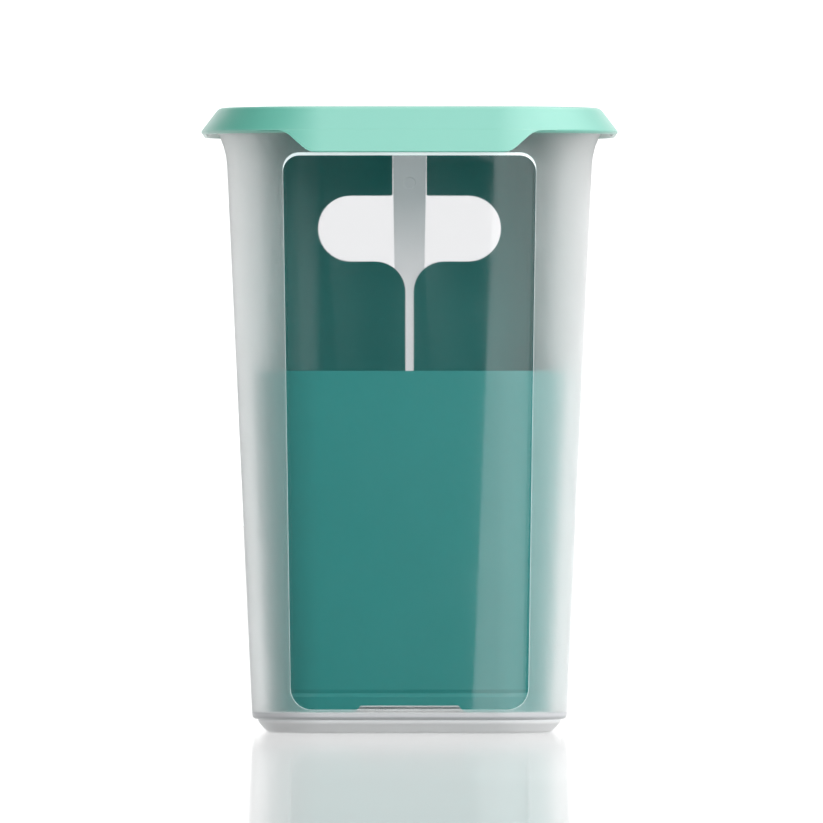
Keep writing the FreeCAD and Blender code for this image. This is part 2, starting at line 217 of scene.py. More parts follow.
# %% [markdown]
# ## Finishes
# Injection-moulded plastic is never one flat colour. Light goes a little way in, the mould leaves a fine
# grain, and the colour drifts slightly as the melt flows. Each finish below lets its gloss or its colour
# vary, and the etched and coloured ones have a grain as well, a bump of at most a tenth of a millimetre.
# The noise behind it is fixed to the piece, so it travels along when the piece is lifted.

# %% Helpers for finishes
NOISE_LOW, NOISE_HIGH = 0.3, 0.7        # most of a noise's values lie between these


def new_finish(name, colour, roughness, **sockets):
    """A material with a plain plastic shader. Returns the material and the shader."""
    material = bpy.data.materials.new(name)
    material.use_nodes = True
    shader = material.node_tree.nodes["Principled BSDF"]
    shader.inputs["Base Color"].default_value = (*colour, 1)
    shader.inputs["Roughness"].default_value = roughness
    for socket, value in sockets.items():
        shader.inputs[socket.replace("_", " ")].default_value = value
    return material, shader


def noise(material, size, detail=3.0):
    """Noise whose blobs are about size mm across, fixed to the piece."""
    nodes, links = material.node_tree.nodes, material.node_tree.links
    place = nodes.new("ShaderNodeTexCoord")
    texture = nodes.new("ShaderNodeTexNoise")
    texture.inputs["Scale"].default_value = 1 / (size * MM)
    texture.inputs["Detail"].default_value = detail
    links.new(place.outputs["Object"], texture.inputs["Vector"])
    return texture.outputs["Fac"]


def polish(material, shader, value, low, high):
    """Lets the roughness drift from low to high with a noise."""
    nodes, links = material.node_tree.nodes, material.node_tree.links
    reach = nodes.new("ShaderNodeMapRange")
    reach.inputs["From Min"].default_value = NOISE_LOW
    reach.inputs["From Max"].default_value = NOISE_HIGH
    reach.inputs["To Min"].default_value = low
    reach.inputs["To Max"].default_value = high
    links.new(value, reach.inputs["Value"])
    links.new(reach.outputs["Result"], shader.inputs["Roughness"])


def rising(material, low, high):
    """Goes from 0 to 1 between two heights in mm on the piece."""
    nodes, links = material.node_tree.nodes, material.node_tree.links
    place = nodes.new("ShaderNodeTexCoord")
    axes = nodes.new("ShaderNodeSeparateXYZ")
    reach = nodes.new("ShaderNodeMapRange")
    reach.inputs["From Min"].default_value = low * MM
    reach.inputs["From Max"].default_value = high * MM
    links.new(place.outputs["Object"], axes.inputs["Vector"])
    links.new(axes.outputs["Z"], reach.inputs["Value"])
    return reach.outputs["Result"]


def tint(material, shader, value, colour_a, colour_b):
    """Lets the base colour drift between two colours."""
    nodes, links = material.node_tree.nodes, material.node_tree.links
    mix = nodes.new("ShaderNodeMix")
    mix.data_type = "RGBA"
    mix.inputs["A"].default_value = (*colour_a, 1)
    mix.inputs["B"].default_value = (*colour_b, 1)
    links.new(value, mix.inputs["Factor"])
    links.new(mix.outputs["Result"], shader.inputs["Base Color"])


def grain(material, shader, *layers):
    """Adds bumps one on another, each layer a (noise, depth in mm)."""
    nodes, links = material.node_tree.nodes, material.node_tree.links
    normal = None
    for height, depth in layers:
        bump = nodes.new("ShaderNodeBump")
        bump.inputs["Distance"].default_value = depth * MM
        links.new(height, bump.inputs["Height"])
        if normal:
            links.new(normal, bump.inputs["Normal"])
        normal = bump.outputs["Normal"]
    links.new(normal, shader.inputs["Normal"])


def let_light_in(material, shader, colour):
    """Light on its way to what is inside goes straight through the wall, and is only tinted."""
    nodes, links = material.node_tree.nodes, material.node_tree.links
    path = nodes.new("ShaderNodeLightPath")
    either = nodes.new("ShaderNodeMath")
    either.operation = "MAXIMUM"
    through = nodes.new("ShaderNodeBsdfTransparent")
    through.inputs["Color"].default_value = (*colour, 1)
    mix = nodes.new("ShaderNodeMixShader")
    links.new(path.outputs["Is Shadow Ray"], either.inputs[0])
    links.new(path.outputs["Is Diffuse Ray"], either.inputs[1])
    links.new(either.outputs["Value"], mix.inputs["Fac"])
    links.new(shader.outputs["BSDF"], mix.inputs[1])
    links.new(through.outputs["BSDF"], mix.inputs[2])
    links.new(mix.outputs["Shader"], nodes["Material Output"].inputs["Surface"])


# %% [markdown]
# ### Frosted and clear polypropylene
# The container's mould is etched outside and polished inside, so only the outer face scatters light. The
# windows are polished outside as well, and there the wall is clear. At the bottom the thick floor stands
# behind the wall. The foot is painted white as painted light from the table below it, and a greyer band
# above the step is painted shade. One piece so takes five finishes: the etched face, the base, the
# windows' edge, the clear pane, and the smooth inner face.

# %% Finishes of the walls and the base
PLASTIC_IOR = 1.49
NATURAL = (0.985, 0.99, 0.99)       # colour of the plain plastic
# Painted light and shade: the foot's white stands for light from the table, the band's grey for shade above
# the step.
FOOT_COLOUR, BAND_COLOUR = (0.985, 0.99, 0.995), (0.6, 0.61, 0.63)
BAND_LOW, BAND_HIGH = 3.6, 4.8      # the foot's colour gives way to the band's between these heights

frosted, shader = new_finish("frosted_wall", NATURAL, 0.32, Transmission_Weight=0.86,
                             IOR=PLASTIC_IOR, Sheen_Weight=1.0, Sheen_Roughness=0.35)
polish(frosted, shader, noise(frosted, 1.2), 0.33, 0.41)
grain(frosted, shader, (noise(frosted, 0.8), 0.035), (noise(frosted, 9, 1.0), 0.1))
let_light_in(frosted, shader, (0.8, 0.81, 0.815))

base, shader = new_finish("frosted_base", FOOT_COLOUR, 0.36, Transmission_Weight=0.1, IOR=PLASTIC_IOR)
# Painted light on the foot, painted shade on the band above the step.
tint(base, shader, rising(base, BAND_LOW, BAND_HIGH), FOOT_COLOUR, BAND_COLOUR)
polish(base, shader, noise(base, 1.2), 0.32, 0.4)
grain(base, shader, (noise(base, 0.7), 0.022))
let_light_in(base, shader, (0.93, 0.94, 0.945))

inside, shader = new_finish("polished_inside", NATURAL, 0.04, Transmission_Weight=1.0, IOR=PLASTIC_IOR)
polish(inside, shader, noise(inside, 15), 0.025, 0.05)
let_light_in(inside, shader, (0.97, 0.98, 0.98))
print("wall and base:", frosted.name, base.name, inside.name)

# %% [markdown]
# ### The windows' finishes
# The pane is plain clear plastic. Light that runs along inside the wall comes out at the cut edge round
# the pane and makes it shine. Following that light would take very many rays, so the edge is given a weak
# glow of its own instead.

# %% Finishes of the windows
WINDOW_SHADOW = (0.95, 0.96, 0.96)
EDGE_GLOW = 0.45

clear, shader = new_finish("clear_window", (0.75, 0.75, 0.76), 0.02, Transmission_Weight=1.0,
                           IOR=PLASTIC_IOR)
polish(clear, shader, noise(clear, 15), 0.012, 0.03)
let_light_in(clear, shader, WINDOW_SHADOW)

edge, shader = new_finish("window_edge", (0.9, 0.97, 0.97), 0.2, Transmission_Weight=0.1,
                          IOR=PLASTIC_IOR, Emission_Color=(0.85, 1.0, 1.0, 1),
                          Emission_Strength=EDGE_GLOW)
polish(edge, shader, noise(edge, 6), 0.15, 0.25)
let_light_in(edge, shader, WINDOW_SHADOW)
print("windows:", clear.name, edge.name)

# %% [markdown]
# ## The container
# One section gives the foot, the leaning wall, the flared neck, the rim and the floor. Its overall sizes
# come from the frame, and the wall's lean joins them. The foot stands back from the wall by a small step,
# which leaves the bright line near the table.

# %% Container: the wall
rim_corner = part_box("container")[1] / MM
RIM_HALF, RIM_HEIGHT = rim_corner.x, rim_corner.z
STEP_HEIGHT, STEP_IN = 4.4, 1.8
BODY_HALF, WALL_LEAN, WALL_THICK = 50.3, 0.046, 2.0
FOOT_RING, FOOT_RECESS, FOOT_SLANT = 2.6, 4.0, 3.2
RIM_TALL, FLARE_TALL, RIM_THICK = 2.4, 7.0, 2.2
BASE_HEIGHT = 6.6           # up to here the floor stands behind the wall
NECK_RADIUS = 24.0
PLATE_HALF = 30.0           # where the swept sections end and their flat plates begin
FACING, NEAR_FLOOR = 0.3, 3.0   # how squarely a face looks inwards or up, and how near the floor it lies
FLOOR_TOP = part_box("strainer")[0].z / MM


def outer_half(height):
    """Half-width of the container's outer face at a height in mm."""
    return BODY_HALF + (height - STEP_HEIGHT) * WALL_LEAN


def inner_half(height):
    """Half-width of its inner face."""
    return outer_half(height) - WALL_THICK


foot_half = BODY_HALF - STEP_IN
recess_half = foot_half - STEP_HEIGHT - FOOT_RING
neck_height = RIM_HEIGHT - RIM_TALL - FLARE_TALL
finishes = [frosted, inside, base]
container = sweep("container_shell", rounded([
    (PLATE_HALF, FOOT_RECESS),
    (recess_half, FOOT_RECESS, 0.6),
    (recess_half, 0, 0.8),
    (foot_half - FOOT_SLANT, 0, 3.0),
    (foot_half, STEP_HEIGHT - 0.9, 2.2),
    (foot_half, STEP_HEIGHT, 0.15),
    (BODY_HALF, STEP_HEIGHT, 1.3),
    (outer_half(BASE_HEIGHT), BASE_HEIGHT),
    (outer_half(neck_height), neck_height, NECK_RADIUS),
    (RIM_HALF, RIM_HEIGHT - RIM_TALL, 0.7),
    (RIM_HALF, RIM_HEIGHT, 0.7),
    (RIM_HALF - RIM_THICK, RIM_HEIGHT, 0.7),
    (RIM_HALF - RIM_THICK, RIM_HEIGHT - RIM_TALL, 1.0),
    (inner_half(neck_height), neck_height, NECK_RADIUS),
    (inner_half(FLOOR_TOP), FLOOR_TOP, 0.8),
    (PLATE_HALF, FLOOR_TOP),
]), *finishes)
for face in container.data.polygons:
    inwards = face.normal.xy.dot(face.center.xy.normalized()) < -FACING
    on_floor = face.normal.z > FACING and abs(face.center.z - FLOOR_TOP * MM) < NEAR_FLOOR * MM
    if face.center.z < BASE_HEIGHT * MM:
        face.material_index = finishes.index(base)
    if inwards and face.center.z > FLOOR_TOP * MM or on_floor:
        face.material_index = finishes.index(inside)
print("container: rim", round(2 * RIM_HALF, 1), "mm wide,", round(RIM_HEIGHT, 1), "mm high")

# %% [markdown]
# ### Its windows
# The windows sit a few tenths of a millimetre below the frosted face, inside a narrow bright border. A
# thin skin that follows the wall, trimmed to an outline, is cut away from the outer face: a shallow one
# first for the border, then a deeper one for the clear pane. The cut faces keep the skin's finish, and
# each cut is made at the front and at the rear at once.

# %% Container: the windows
BORDER_DEPTH, PANE_DEPTH = 0.12, 0.4
BORDER_WIDE, BORDER_TALL = 0.06, 0.95       # the border's width at the sides and at the top
WINDOW_LOW, WINDOW_HIGH = STEP_HEIGHT + 3.2, neck_height - 0.9
WINDOW_HALF_LOW, WINDOW_HALF_HIGH = 37.95, 40.45
WINDOW_RADIUS_LOW, WINDOW_RADIUS_HIGH = 7.0, 5.2
REACH = 2 * BODY_HALF       # cutters run this far both ways, well past the walls


def cut_window(depth, in_sides, in_top, finish):
    """Takes the wall's outer depth mm away inside the windows' outline, drawn in by a border."""
    skin = sweep("window_skin", [
        (outer_half(WINDOW_LOW) - depth, WINDOW_LOW),
        (outer_half(WINDOW_LOW) + WALL_THICK, WINDOW_LOW),
        (outer_half(WINDOW_HIGH) + WALL_THICK, WINDOW_HIGH),
        (outer_half(WINDOW_HIGH) - depth, WINDOW_HIGH),
    ], finish, plates=False)
    outline = rounded([
        (in_sides - WINDOW_HALF_LOW, WINDOW_LOW + in_sides, WINDOW_RADIUS_LOW),
        (WINDOW_HALF_LOW - in_sides, WINDOW_LOW + in_sides, WINDOW_RADIUS_LOW),
        (WINDOW_HALF_HIGH - in_sides, WINDOW_HIGH - in_top, WINDOW_RADIUS_HIGH),
        (in_sides - WINDOW_HALF_HIGH, WINDOW_HIGH - in_top, WINDOW_RADIUS_HIGH),
    ])
    combine(skin, prism("window_outline", [outline], "Y", -REACH, REACH, finish), "INTERSECT")
    combine(container, skin, "DIFFERENCE")


cut_window(BORDER_DEPTH, 0, 0, edge)
cut_window(PANE_DEPTH, BORDER_WIDE, BORDER_TALL, clear)
soften(container, 0)
dress(container, "container", "container")
print("container finishes in use:", [m.name for m in container.data.materials])

# %% [markdown]
# ## The rest bar
# A frosted bar stands on the inside of the rear wall. Its face is upright while the wall leans, so the bar
# gets thinner towards its foot. It guides the handle, and a lifted strainer hangs on its top end. It is
# drawn as an upright strip that is cut off along the wall, with a small round mark let into its face.

# %% Rest bar: finish
low, high = (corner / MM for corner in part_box("rest_bar"))
BAR_FACE, BAR_LOW, BAR_HIGH, BAR_HALF_HIGH = low.y, low.z, high.z, high.x
BAR_COLOUR = (0.7, 0.73, 0.74)
# Painted light and shade: the bar is painted darker towards its top for the lid's shadow, and lighter
# towards its foot.
THIN_COLOUR, THICK_COLOUR = (0.985, 0.985, 0.99), (0.5, 0.56, 0.565)
THIN_END, THICK_END = 32, 14        # mm at the bar's foot and at its top that keep one colour

bar_finish, shader = new_finish("frosted_bar", BAR_COLOUR, 0.3, Transmission_Weight=0.85,
                                IOR=PLASTIC_IOR)
# Painted shade that deepens upwards, from the lit colour at the foot to the shaded colour at the top.
thickness = rising(bar_finish, BAR_LOW + THIN_END, BAR_HIGH - THICK_END)
tint(bar_finish, shader, thickness, THIN_COLOUR, THICK_COLOUR)
grain(bar_finish, shader, (noise(bar_finish, 0.7), 0.03))
let_light_in(bar_finish, shader, (0.55, 0.6, 0.6))
print("bar:", round(BAR_HIGH - BAR_LOW, 1), "mm long,", round(2 * BAR_HALF_HIGH, 1), "mm wide at its top")

# %% Rest bar: shape
BAR_HALF_LOW = 4.2
SPARE, CLEAR = 5, 1         # mm that long and short cutters reach past what they cut
MARK_RADIUS, MARK_DROP, MARK_DEPTH, MARK_POINTS = 1.9, 9.9, 0.25, 48

strip = rounded([
    (-BAR_HALF_LOW, BAR_LOW),
    (BAR_HALF_LOW, BAR_LOW),
    (BAR_HALF_HIGH, BAR_HIGH, 0.4),
    (-BAR_HALF_HIGH, BAR_HIGH, 0.4),
])
bar = prism("rest_bar_strip", [strip], "Y", BAR_FACE, RIM_HALF, bar_finish)
wall = [(inner_half(z), z) for z in (BAR_LOW - SPARE, BAR_HIGH + SPARE)]
beyond = [(2 * RIM_HALF, BAR_HIGH + SPARE), (2 * RIM_HALF, BAR_LOW - SPARE)]
combine(bar, prism("behind_bar", [wall + beyond], "X", -BODY_HALF, BODY_HALF), "DIFFERENCE")
mark_centre = Vector((0, BAR_HIGH - MARK_DROP))
angles = [math.radians(360 / MARK_POINTS * i) for i in range(MARK_POINTS)]
ring = [mark_centre + Matrix.Rotation(angle, 2) @ Vector((MARK_RADIUS, 0)) for angle in angles]
combine(bar, prism("mark", [ring], "Y", BAR_FACE - CLEAR, BAR_FACE + MARK_DEPTH, bar_finish), "DIFFERENCE")
soften(bar, 0.12)
dress(bar, "rest_bar", "container")

# %% [markdown]
# ## The strainer
# The teal strainer is a half-height basket on a low skirt, and its rear wall goes on up as a handle. The
# whole wall is swept to full height first. Then a scoop takes away all but the handle, and prisms open the
# finger opening with its slot, the drains under the skirt and the holes in the floor.

# %% Strainer: finish
TEAL, TEAL_DEEP = (0.034, 0.28, 0.262), (0.028, 0.255, 0.238)
teal, shader = new_finish("teal_plastic", TEAL, 0.3, IOR=PLASTIC_IOR)
tint(teal, shader, noise(teal, 38, 2.0), TEAL, TEAL_DEEP)
polish(teal, shader, noise(teal, 20, 1.0), 0.28, 0.33)
grain(teal, shader, (noise(teal, 1.4, 1.0), 0.01))
print("strainer:", teal.name)

# %% Strainer: the wall
HANDLE_HEIGHT = (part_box("strainer")[1] / MM).z
STRAINER_GAP, STRAINER_WALL = 3.0, 1.6
BASKET_STAND, BASKET_FLOOR_THICK = 5.7, 1.6
BASKET_HEIGHT = 115.8
SINK_DEPTH, SINK_TALL = 0.25, 1.2       # the wall draws in a little where the floor joins it


def strainer_half(height):
    """Half-width of the strainer's outer face at a height in mm."""
    return inner_half(height) - STRAINER_GAP


basket_under = FLOOR_TOP + BASKET_STAND
basket_floor = basket_under + BASKET_FLOOR_THICK
sink_height = basket_floor - BASKET_FLOOR_THICK / 2
skirt_inner = strainer_half(FLOOR_TOP) - STRAINER_WALL
strainer = sweep("strainer_moulding", rounded([
    (PLATE_HALF, basket_under),
    (skirt_inner, basket_under, 0.8),
    (skirt_inner, FLOOR_TOP),
    (strainer_half(FLOOR_TOP), FLOOR_TOP),
    (strainer_half(sink_height - SINK_TALL), sink_height - SINK_TALL, 0.6),
    (strainer_half(sink_height) - SINK_DEPTH, sink_height, 0.6),
    (strainer_half(sink_height + SINK_TALL), sink_height + SINK_TALL, 0.6),
    (strainer_half(HANDLE_HEIGHT), HANDLE_HEIGHT),
    (strainer_half(HANDLE_HEIGHT) - STRAINER_WALL, HANDLE_HEIGHT),
    (strainer_half(basket_floor) - STRAINER_WALL, basket_floor, 2.6),
    (PLATE_HALF, basket_floor),
]), teal)
print("basket floor:", round(basket_floor, 1), "mm up, handle top:", round(HANDLE_HEIGHT, 1), "mm up")

# %% [markdown]
# ### What the scoop leaves
# Seen from the side, the basket's rim runs level and then swings up into the handle's edge in one wide
# curve, and the handle's top corner is rounded. That line is drawn once, and all that lies in front of
# it and above the basket is taken away. The handle so keeps its two wrapped rear corners.

# %% Strainer: the scoop that leaves the handle
HANDLE_EDGE, HANDLE_FOOT_RADIUS, HANDLE_TOP_RADIUS = 31.0, 20.0, 9.0
ahead, above = -REACH, HANDLE_HEIGHT + SPARE
scoop = rounded([
    (ahead, BASKET_HEIGHT),
    (HANDLE_EDGE, BASKET_HEIGHT, HANDLE_FOOT_RADIUS),
    (HANDLE_EDGE, HANDLE_HEIGHT, HANDLE_TOP_RADIUS),
    (HANDLE_EDGE + 2 * HANDLE_TOP_RADIUS, HANDLE_HEIGHT),
    (HANDLE_EDGE + 2 * HANDLE_TOP_RADIUS, above),
    (ahead, above),
])
print("scoop outline:", len(scoop), "points")

# %% [markdown]
# ### The handle's hollow face
# On each side of the slot the handle's front face is very slightly dished, which stiffens the tall plate
# and lets light run across it in bands. Two shallow segments of a circle, run upwards along the wall's
# lean, are taken away from that face. They deepen towards the top, so that they fade out in the basket.

# %% Strainer: the dished handle
DISH_START, DISH_END, DISH_DEPTH, DISH_FOOT = 1.9, 29.0, 1.0, 60.0
DISH_STEPS, DISH_CLEAR = 24, 4      # steps along each bow, and how far the cutters reach past the face

dish_half = (DISH_END - DISH_START) / 2
dish_radius = (dish_half ** 2 + DISH_DEPTH ** 2) / (2 * DISH_DEPTH)
dish_turn = math.asin(dish_half / dish_radius)
face_at_zero = strainer_half(0) - STRAINER_WALL
segments = []
for side in (-1, 1):
    centre = Vector((side * (DISH_START + dish_half), face_at_zero + DISH_DEPTH - dish_radius))
    turns = [dish_turn * (2 * step / DISH_STEPS - 1) for step in range(DISH_STEPS + 1)]
    bow = [centre + dish_radius * Vector((math.sin(turn), math.cos(turn))) for turn in turns]
    segments.append(bow + [Vector((end.x, face_at_zero - DISH_CLEAR)) for end in (bow[-1], bow[0])])
hollows = prism("hollows", segments, "Z", DISH_FOOT, above, teal)
fade = DISH_DEPTH / (above - DISH_FOOT)
for vertex in hollows.data.vertices:
    vertex.co.y += vertex.co.z * (WALL_LEAN + fade) - fade * above * MM
print("dish radius:", round(dish_radius), "mm")

# %% [markdown]
# ### The finger opening
# Two or three fingers go through the opening. Below, two rounded shoulders lead into a narrow slot, and
# those shoulders are what rests on the bar when the strainer is lifted. Above, a notch clears the bar.

# %% Strainer: openings
GRIP_DROP, GRIP_TALL, GRIP_HALF = 22.0, 21.4, 29.8
SHOULDER_RADIUS, SLOT_HALF, SLOT_LONG = 9.8, 1.35, 88.8
BAR_DROP, BAR_SIDE_GAP, BAR_TOP_GAP = 8.0, 0.05, 0.6
NOTCH_RADIUS_LOW, NOTCH_RADIUS_HIGH = 0.6, 1.0
END_FLAT = 0.01             # half of the straight bit left in the middle of a fully rounded end

grip_high = HANDLE_HEIGHT - GRIP_DROP
grip_low = grip_high - GRIP_TALL
slot_low = grip_low - SLOT_LONG
notch_half = BAR_HALF_HIGH + BAR_SIDE_GAP
notch_high = HANDLE_HEIGHT - BAR_DROP + BAR_TOP_GAP
right_side = [
    (SLOT_HALF, slot_low, SLOT_HALF - END_FLAT),
    (SLOT_HALF, grip_low, SHOULDER_RADIUS),
    (GRIP_HALF, grip_low, GRIP_TALL / 2 - END_FLAT),
    (GRIP_HALF, grip_high, GRIP_TALL / 2 - END_FLAT),
    (notch_half, grip_high, NOTCH_RADIUS_LOW),
    (notch_half, notch_high, NOTCH_RADIUS_HIGH),
]
left_side = [(-x, z, r) for x, z, r in reversed(right_side)]
grip = rounded(right_side + left_side)
print("finger opening:", round(2 * GRIP_HALF, 1), "x", round(GRIP_TALL, 1), "mm")

# %% [markdown]
# ### Drains
# The lifted strainer has to let its brine go. The floor is a grid of small square holes, and a low notch
# in each side of the skirt joins the brine under the floor with the brine round the basket.

# %% Strainer: drains, and all the cuts
DRAIN_TALL, DRAIN_HALF_LOW, DRAIN_HALF_HIGH, DRAIN_RADIUS = 2.5, 18.0, 15.6, 0.8
drain_start = FLOOR_TOP - 2 * CLEAR
drain = rounded([
    (-DRAIN_HALF_LOW, FLOOR_TOP),
    (-DRAIN_HALF_LOW, drain_start),
    (DRAIN_HALF_LOW, drain_start),
    (DRAIN_HALF_LOW, FLOOR_TOP),
    (DRAIN_HALF_HIGH, FLOOR_TOP + DRAIN_TALL, DRAIN_RADIUS),
    (-DRAIN_HALF_HIGH, FLOOR_TOP + DRAIN_TALL, DRAIN_RADIUS),
])

HOLE_HALF, HOLE_RADIUS, HOLE_PITCH, HOLE_ROWS = 2.2, 0.5, 13.0, 5
places = [(i - (HOLE_ROWS - 1) / 2) * HOLE_PITCH for i in range(HOLE_ROWS)]
square = [(-1, -1), (1, -1), (1, 1), (-1, 1)]
corners = [(a * HOLE_HALF, b * HOLE_HALF) for a, b in square]
holes = [rounded([(x + a, y + b, HOLE_RADIUS) for a, b in corners]) for x in places for y in places]

combine(strainer, prism("scoop", [scoop], "X", -REACH, REACH, teal), "DIFFERENCE")
combine(strainer, hollows, "DIFFERENCE")
combine(strainer, prism("grip", [grip], "Y", HANDLE_EDGE - 3, REACH, teal), "DIFFERENCE")
for along in "XY":
    combine(strainer, prism("drain", [drain], along, -REACH, REACH, teal), "DIFFERENCE")
combine(strainer, prism("holes", holes, "Z", basket_under - CLEAR, basket_floor + CLEAR, teal), "DIFFERENCE")
print(len(holes), "holes in the basket's floor")
soften(strainer, 0.35)
dress(strainer, "strainer", "strainer")

# %% [markdown]
# ## The lid
# The lid is moulded in a softer plastic than the rest, so that it can be peeled off by its tabs. Its
# skirt flares outwards, a plug ring underneath seals the neck, and the middle of the top is sunk so that
# keepers stack. The two tabs are short aprons below the skirt, joined to it without a line.

# %% Lid: finish
MINT, MINT_DEEP = (0.092, 0.385, 0.3), (0.084, 0.365, 0.285)
mint, shader = new_finish("mint_plastic", MINT, 0.42, IOR=1.5, Specular_IOR_Level=1.0,
                          Coat_Weight=1.0, Coat_Roughness=0.42)
tint(mint, shader, noise(mint, 45, 2.0), MINT, MINT_DEEP)
polish(mint, shader, noise(mint, 5), 0.38, 0.47)
grain(mint, shader, (noise(mint, 0.45), 0.012), (noise(mint, 35, 1.0), 0.05))
print("lid:", mint.name)

# %% Lid: the ring and the panel
low, high = (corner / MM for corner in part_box("lid"))
LID_TOP, SKIRT_HALF, TAB_REACH, TAB_LOW = high.z, high.x, high.y, low.z
LID_DRAW, SKIRT_DROP, SKIRT_THICK = 0.9, 3.3, 2.0
LIP_TALL, LIP_TAPER = 0.9, 0.7
PLUG_GAP, PLUG_THICK, PLUG_DEEP = 0.55, 1.4, 4.4
LID_PLATE, PANEL_IN, PANEL_SINK, PANEL_SLOPE = 1.8, 11.5, 2.1, 2.0

lid_top_half = RIM_HALF - LID_DRAW
skirt_height = RIM_HEIGHT - SKIRT_DROP
skirt_low = skirt_height - LIP_TALL
skirt_run = (SKIRT_HALF - lid_top_half) / (LID_TOP - skirt_height)
channel_half = lid_top_half + (LID_TOP - RIM_HEIGHT) * skirt_run - SKIRT_THICK
lip_half = SKIRT_HALF - LIP_TAPER
rim_out = RIM_HALF - outer_half(neck_height)
plug_low = RIM_HEIGHT - PLUG_DEEP
plug_half = outer_half(neck_height) + rim_out * (plug_low - neck_height) / FLARE_TALL - RIM_THICK - PLUG_GAP
panel_half = RIM_HALF - PANEL_IN
under = LID_TOP - LID_PLATE
lid = sweep("lid_moulding", rounded([
    (PLATE_HALF, LID_TOP - PANEL_SINK),
    (panel_half, LID_TOP - PANEL_SINK, 1.2),
    (panel_half + PANEL_SLOPE, LID_TOP, 1.2),
    (lid_top_half, LID_TOP, 2.8),
    (SKIRT_HALF, skirt_height, 0.7),
    (lip_half, skirt_low, 0.4),
    (lip_half - SKIRT_THICK / 2, skirt_low, 0.4),
    (channel_half, RIM_HEIGHT, 0.5),
    (plug_half, RIM_HEIGHT, 0.4),
    (plug_half, plug_low, 0.45),
    (plug_half - PLUG_THICK, plug_low, 0.45),
    (plug_half - PLUG_THICK, under, 0.6),
    (panel_half + PANEL_SLOPE, under, 1.0),
    (panel_half, under - PANEL_SINK, 1.0),
    (PLATE_HALF, under - PANEL_SINK),
]), mint)
print("lid:", round(2 * SKIRT_HALF, 1), "mm wide, plug", round(2 * plug_half, 1), "mm wide at its foot")

# %% [markdown]
# ### The tabs
# A tab carries the skirt's slant on downwards. A second thin ring is swept below the skirt for that, an
# outline with rounded corners keeps of it only the front and the rear, and a union joins it to the lid.

# %% Lid: the two tabs
TAB_HALF_HIGH, TAB_SLANT, TAB_RADIUS, TAB_THICK = 40.0, 8.0, 7.0, 2.2
tab_skin = sweep("tabs", rounded([
    (TAB_REACH, TAB_LOW, 0.35),
    (SKIRT_HALF, skirt_height),
    (SKIRT_HALF - TAB_THICK / 2, skirt_height + LIP_TAPER),
    (SKIRT_HALF - TAB_THICK, skirt_height),
    (TAB_REACH - TAB_THICK, TAB_LOW, 0.7),
]), mint, plates=False)
shoulder = TAB_HALF_HIGH + TAB_RADIUS
tab_outline = rounded([
    (-TAB_HALF_HIGH + TAB_SLANT, TAB_LOW, TAB_RADIUS),
    (TAB_HALF_HIGH - TAB_SLANT, TAB_LOW, TAB_RADIUS),
    (TAB_HALF_HIGH, skirt_height, TAB_RADIUS),
    (shoulder, skirt_height),
    (shoulder, LID_TOP),
    (-shoulder, LID_TOP),
    (-shoulder, skirt_height),
    (-TAB_HALF_HIGH, skirt_height, TAB_RADIUS),
])
tab_cutter = prism("tab_outline", [tab_outline], "Y", -2 * SKIRT_HALF, 2 * SKIRT_HALF, mint)
combine(tab_skin, tab_cutter, "INTERSECT")
combine(lid, tab_skin, "UNION")
soften(lid, 0)
dress(lid, "lid", "lid")

# %% [markdown]
# ## Floor, light and camera
# A glossy white table carries the keeper. It is partly a mirror, and it glows by itself so that it is
# evenly white without a lamp above it. Its shader answers each kind of ray in its own way. What the
# plastic mirrors passes through the table, so that no white veil lies over the windows, and light that
# the plastic scatters meets a plain grey there, so that the glow doesn't flood the frosted walls.

# %% Floor
TABLE_MATT, TABLE_BOUNCE, TABLE_GLOW = 0.15, 0.3, 1.1
TABLE_MIRROR, TABLE_ROUGHNESS = 0.6, 0.09       # the share that mirrors, and how rough it is

floor_finish = bpy.data.materials.new("white_table")
floor_finish.use_nodes = True
nodes, links = floor_finish.node_tree.nodes, floor_finish.node_tree.links
nodes.remove(nodes["Principled BSDF"])
matt = nodes.new("ShaderNodeBsdfDiffuse")
matt.inputs["Color"].default_value = (TABLE_MATT, TABLE_MATT, TABLE_MATT, 1)
bounce = nodes.new("ShaderNodeBsdfDiffuse")
bounce.inputs["Color"].default_value = (TABLE_BOUNCE, TABLE_BOUNCE, TABLE_BOUNCE, 1)
glow = nodes.new("ShaderNodeEmission")
glow.inputs["Strength"].default_value = TABLE_GLOW
bounced = nodes.new("ShaderNodeMixShader")
lit = nodes.new("ShaderNodeAddShader")
gloss = nodes.new("ShaderNodeBsdfGlossy")
gloss.inputs["Roughness"].default_value = TABLE_ROUGHNESS
blend = nodes.new("ShaderNodeMixShader")
blend.inputs["Fac"].default_value = TABLE_MIRROR
past = nodes.new("ShaderNodeBsdfTransparent")
seen_by = nodes.new("ShaderNodeLightPath")
either = nodes.new("ShaderNodeMixShader")
links.new(matt.outputs["BSDF"], lit.inputs[0])
links.new(glow.outputs["Emission"], lit.inputs[1])
links.new(lit.outputs["Shader"], blend.inputs[1])
links.new(gloss.outputs["BSDF"], blend.inputs[2])
links.new(seen_by.outputs["Is Diffuse Ray"], bounced.inputs["Fac"])
links.new(blend.outputs["Shader"], bounced.inputs[1])
links.new(bounce.outputs["BSDF"], bounced.inputs[2])
links.new(seen_by.outputs["Is Glossy Ray"], either.inputs["Fac"])
links.new(bounced.outputs["Shader"], either.inputs[1])
links.new(past.outputs["BSDF"], either.inputs[2])
links.new(either.outputs["Shader"], nodes["Material Output"].inputs["Surface"])

FLOOR_REACH = 9.0           # metres from the middle to the table's edges
shape = bmesh.new()
bmesh.ops.create_grid(shape, x_segments=1, y_segments=1, size=FLOOR_REACH)
table = new_piece("table", shape, floor_finish)
print("table:", 2 * FLOOR_REACH, "m wide")

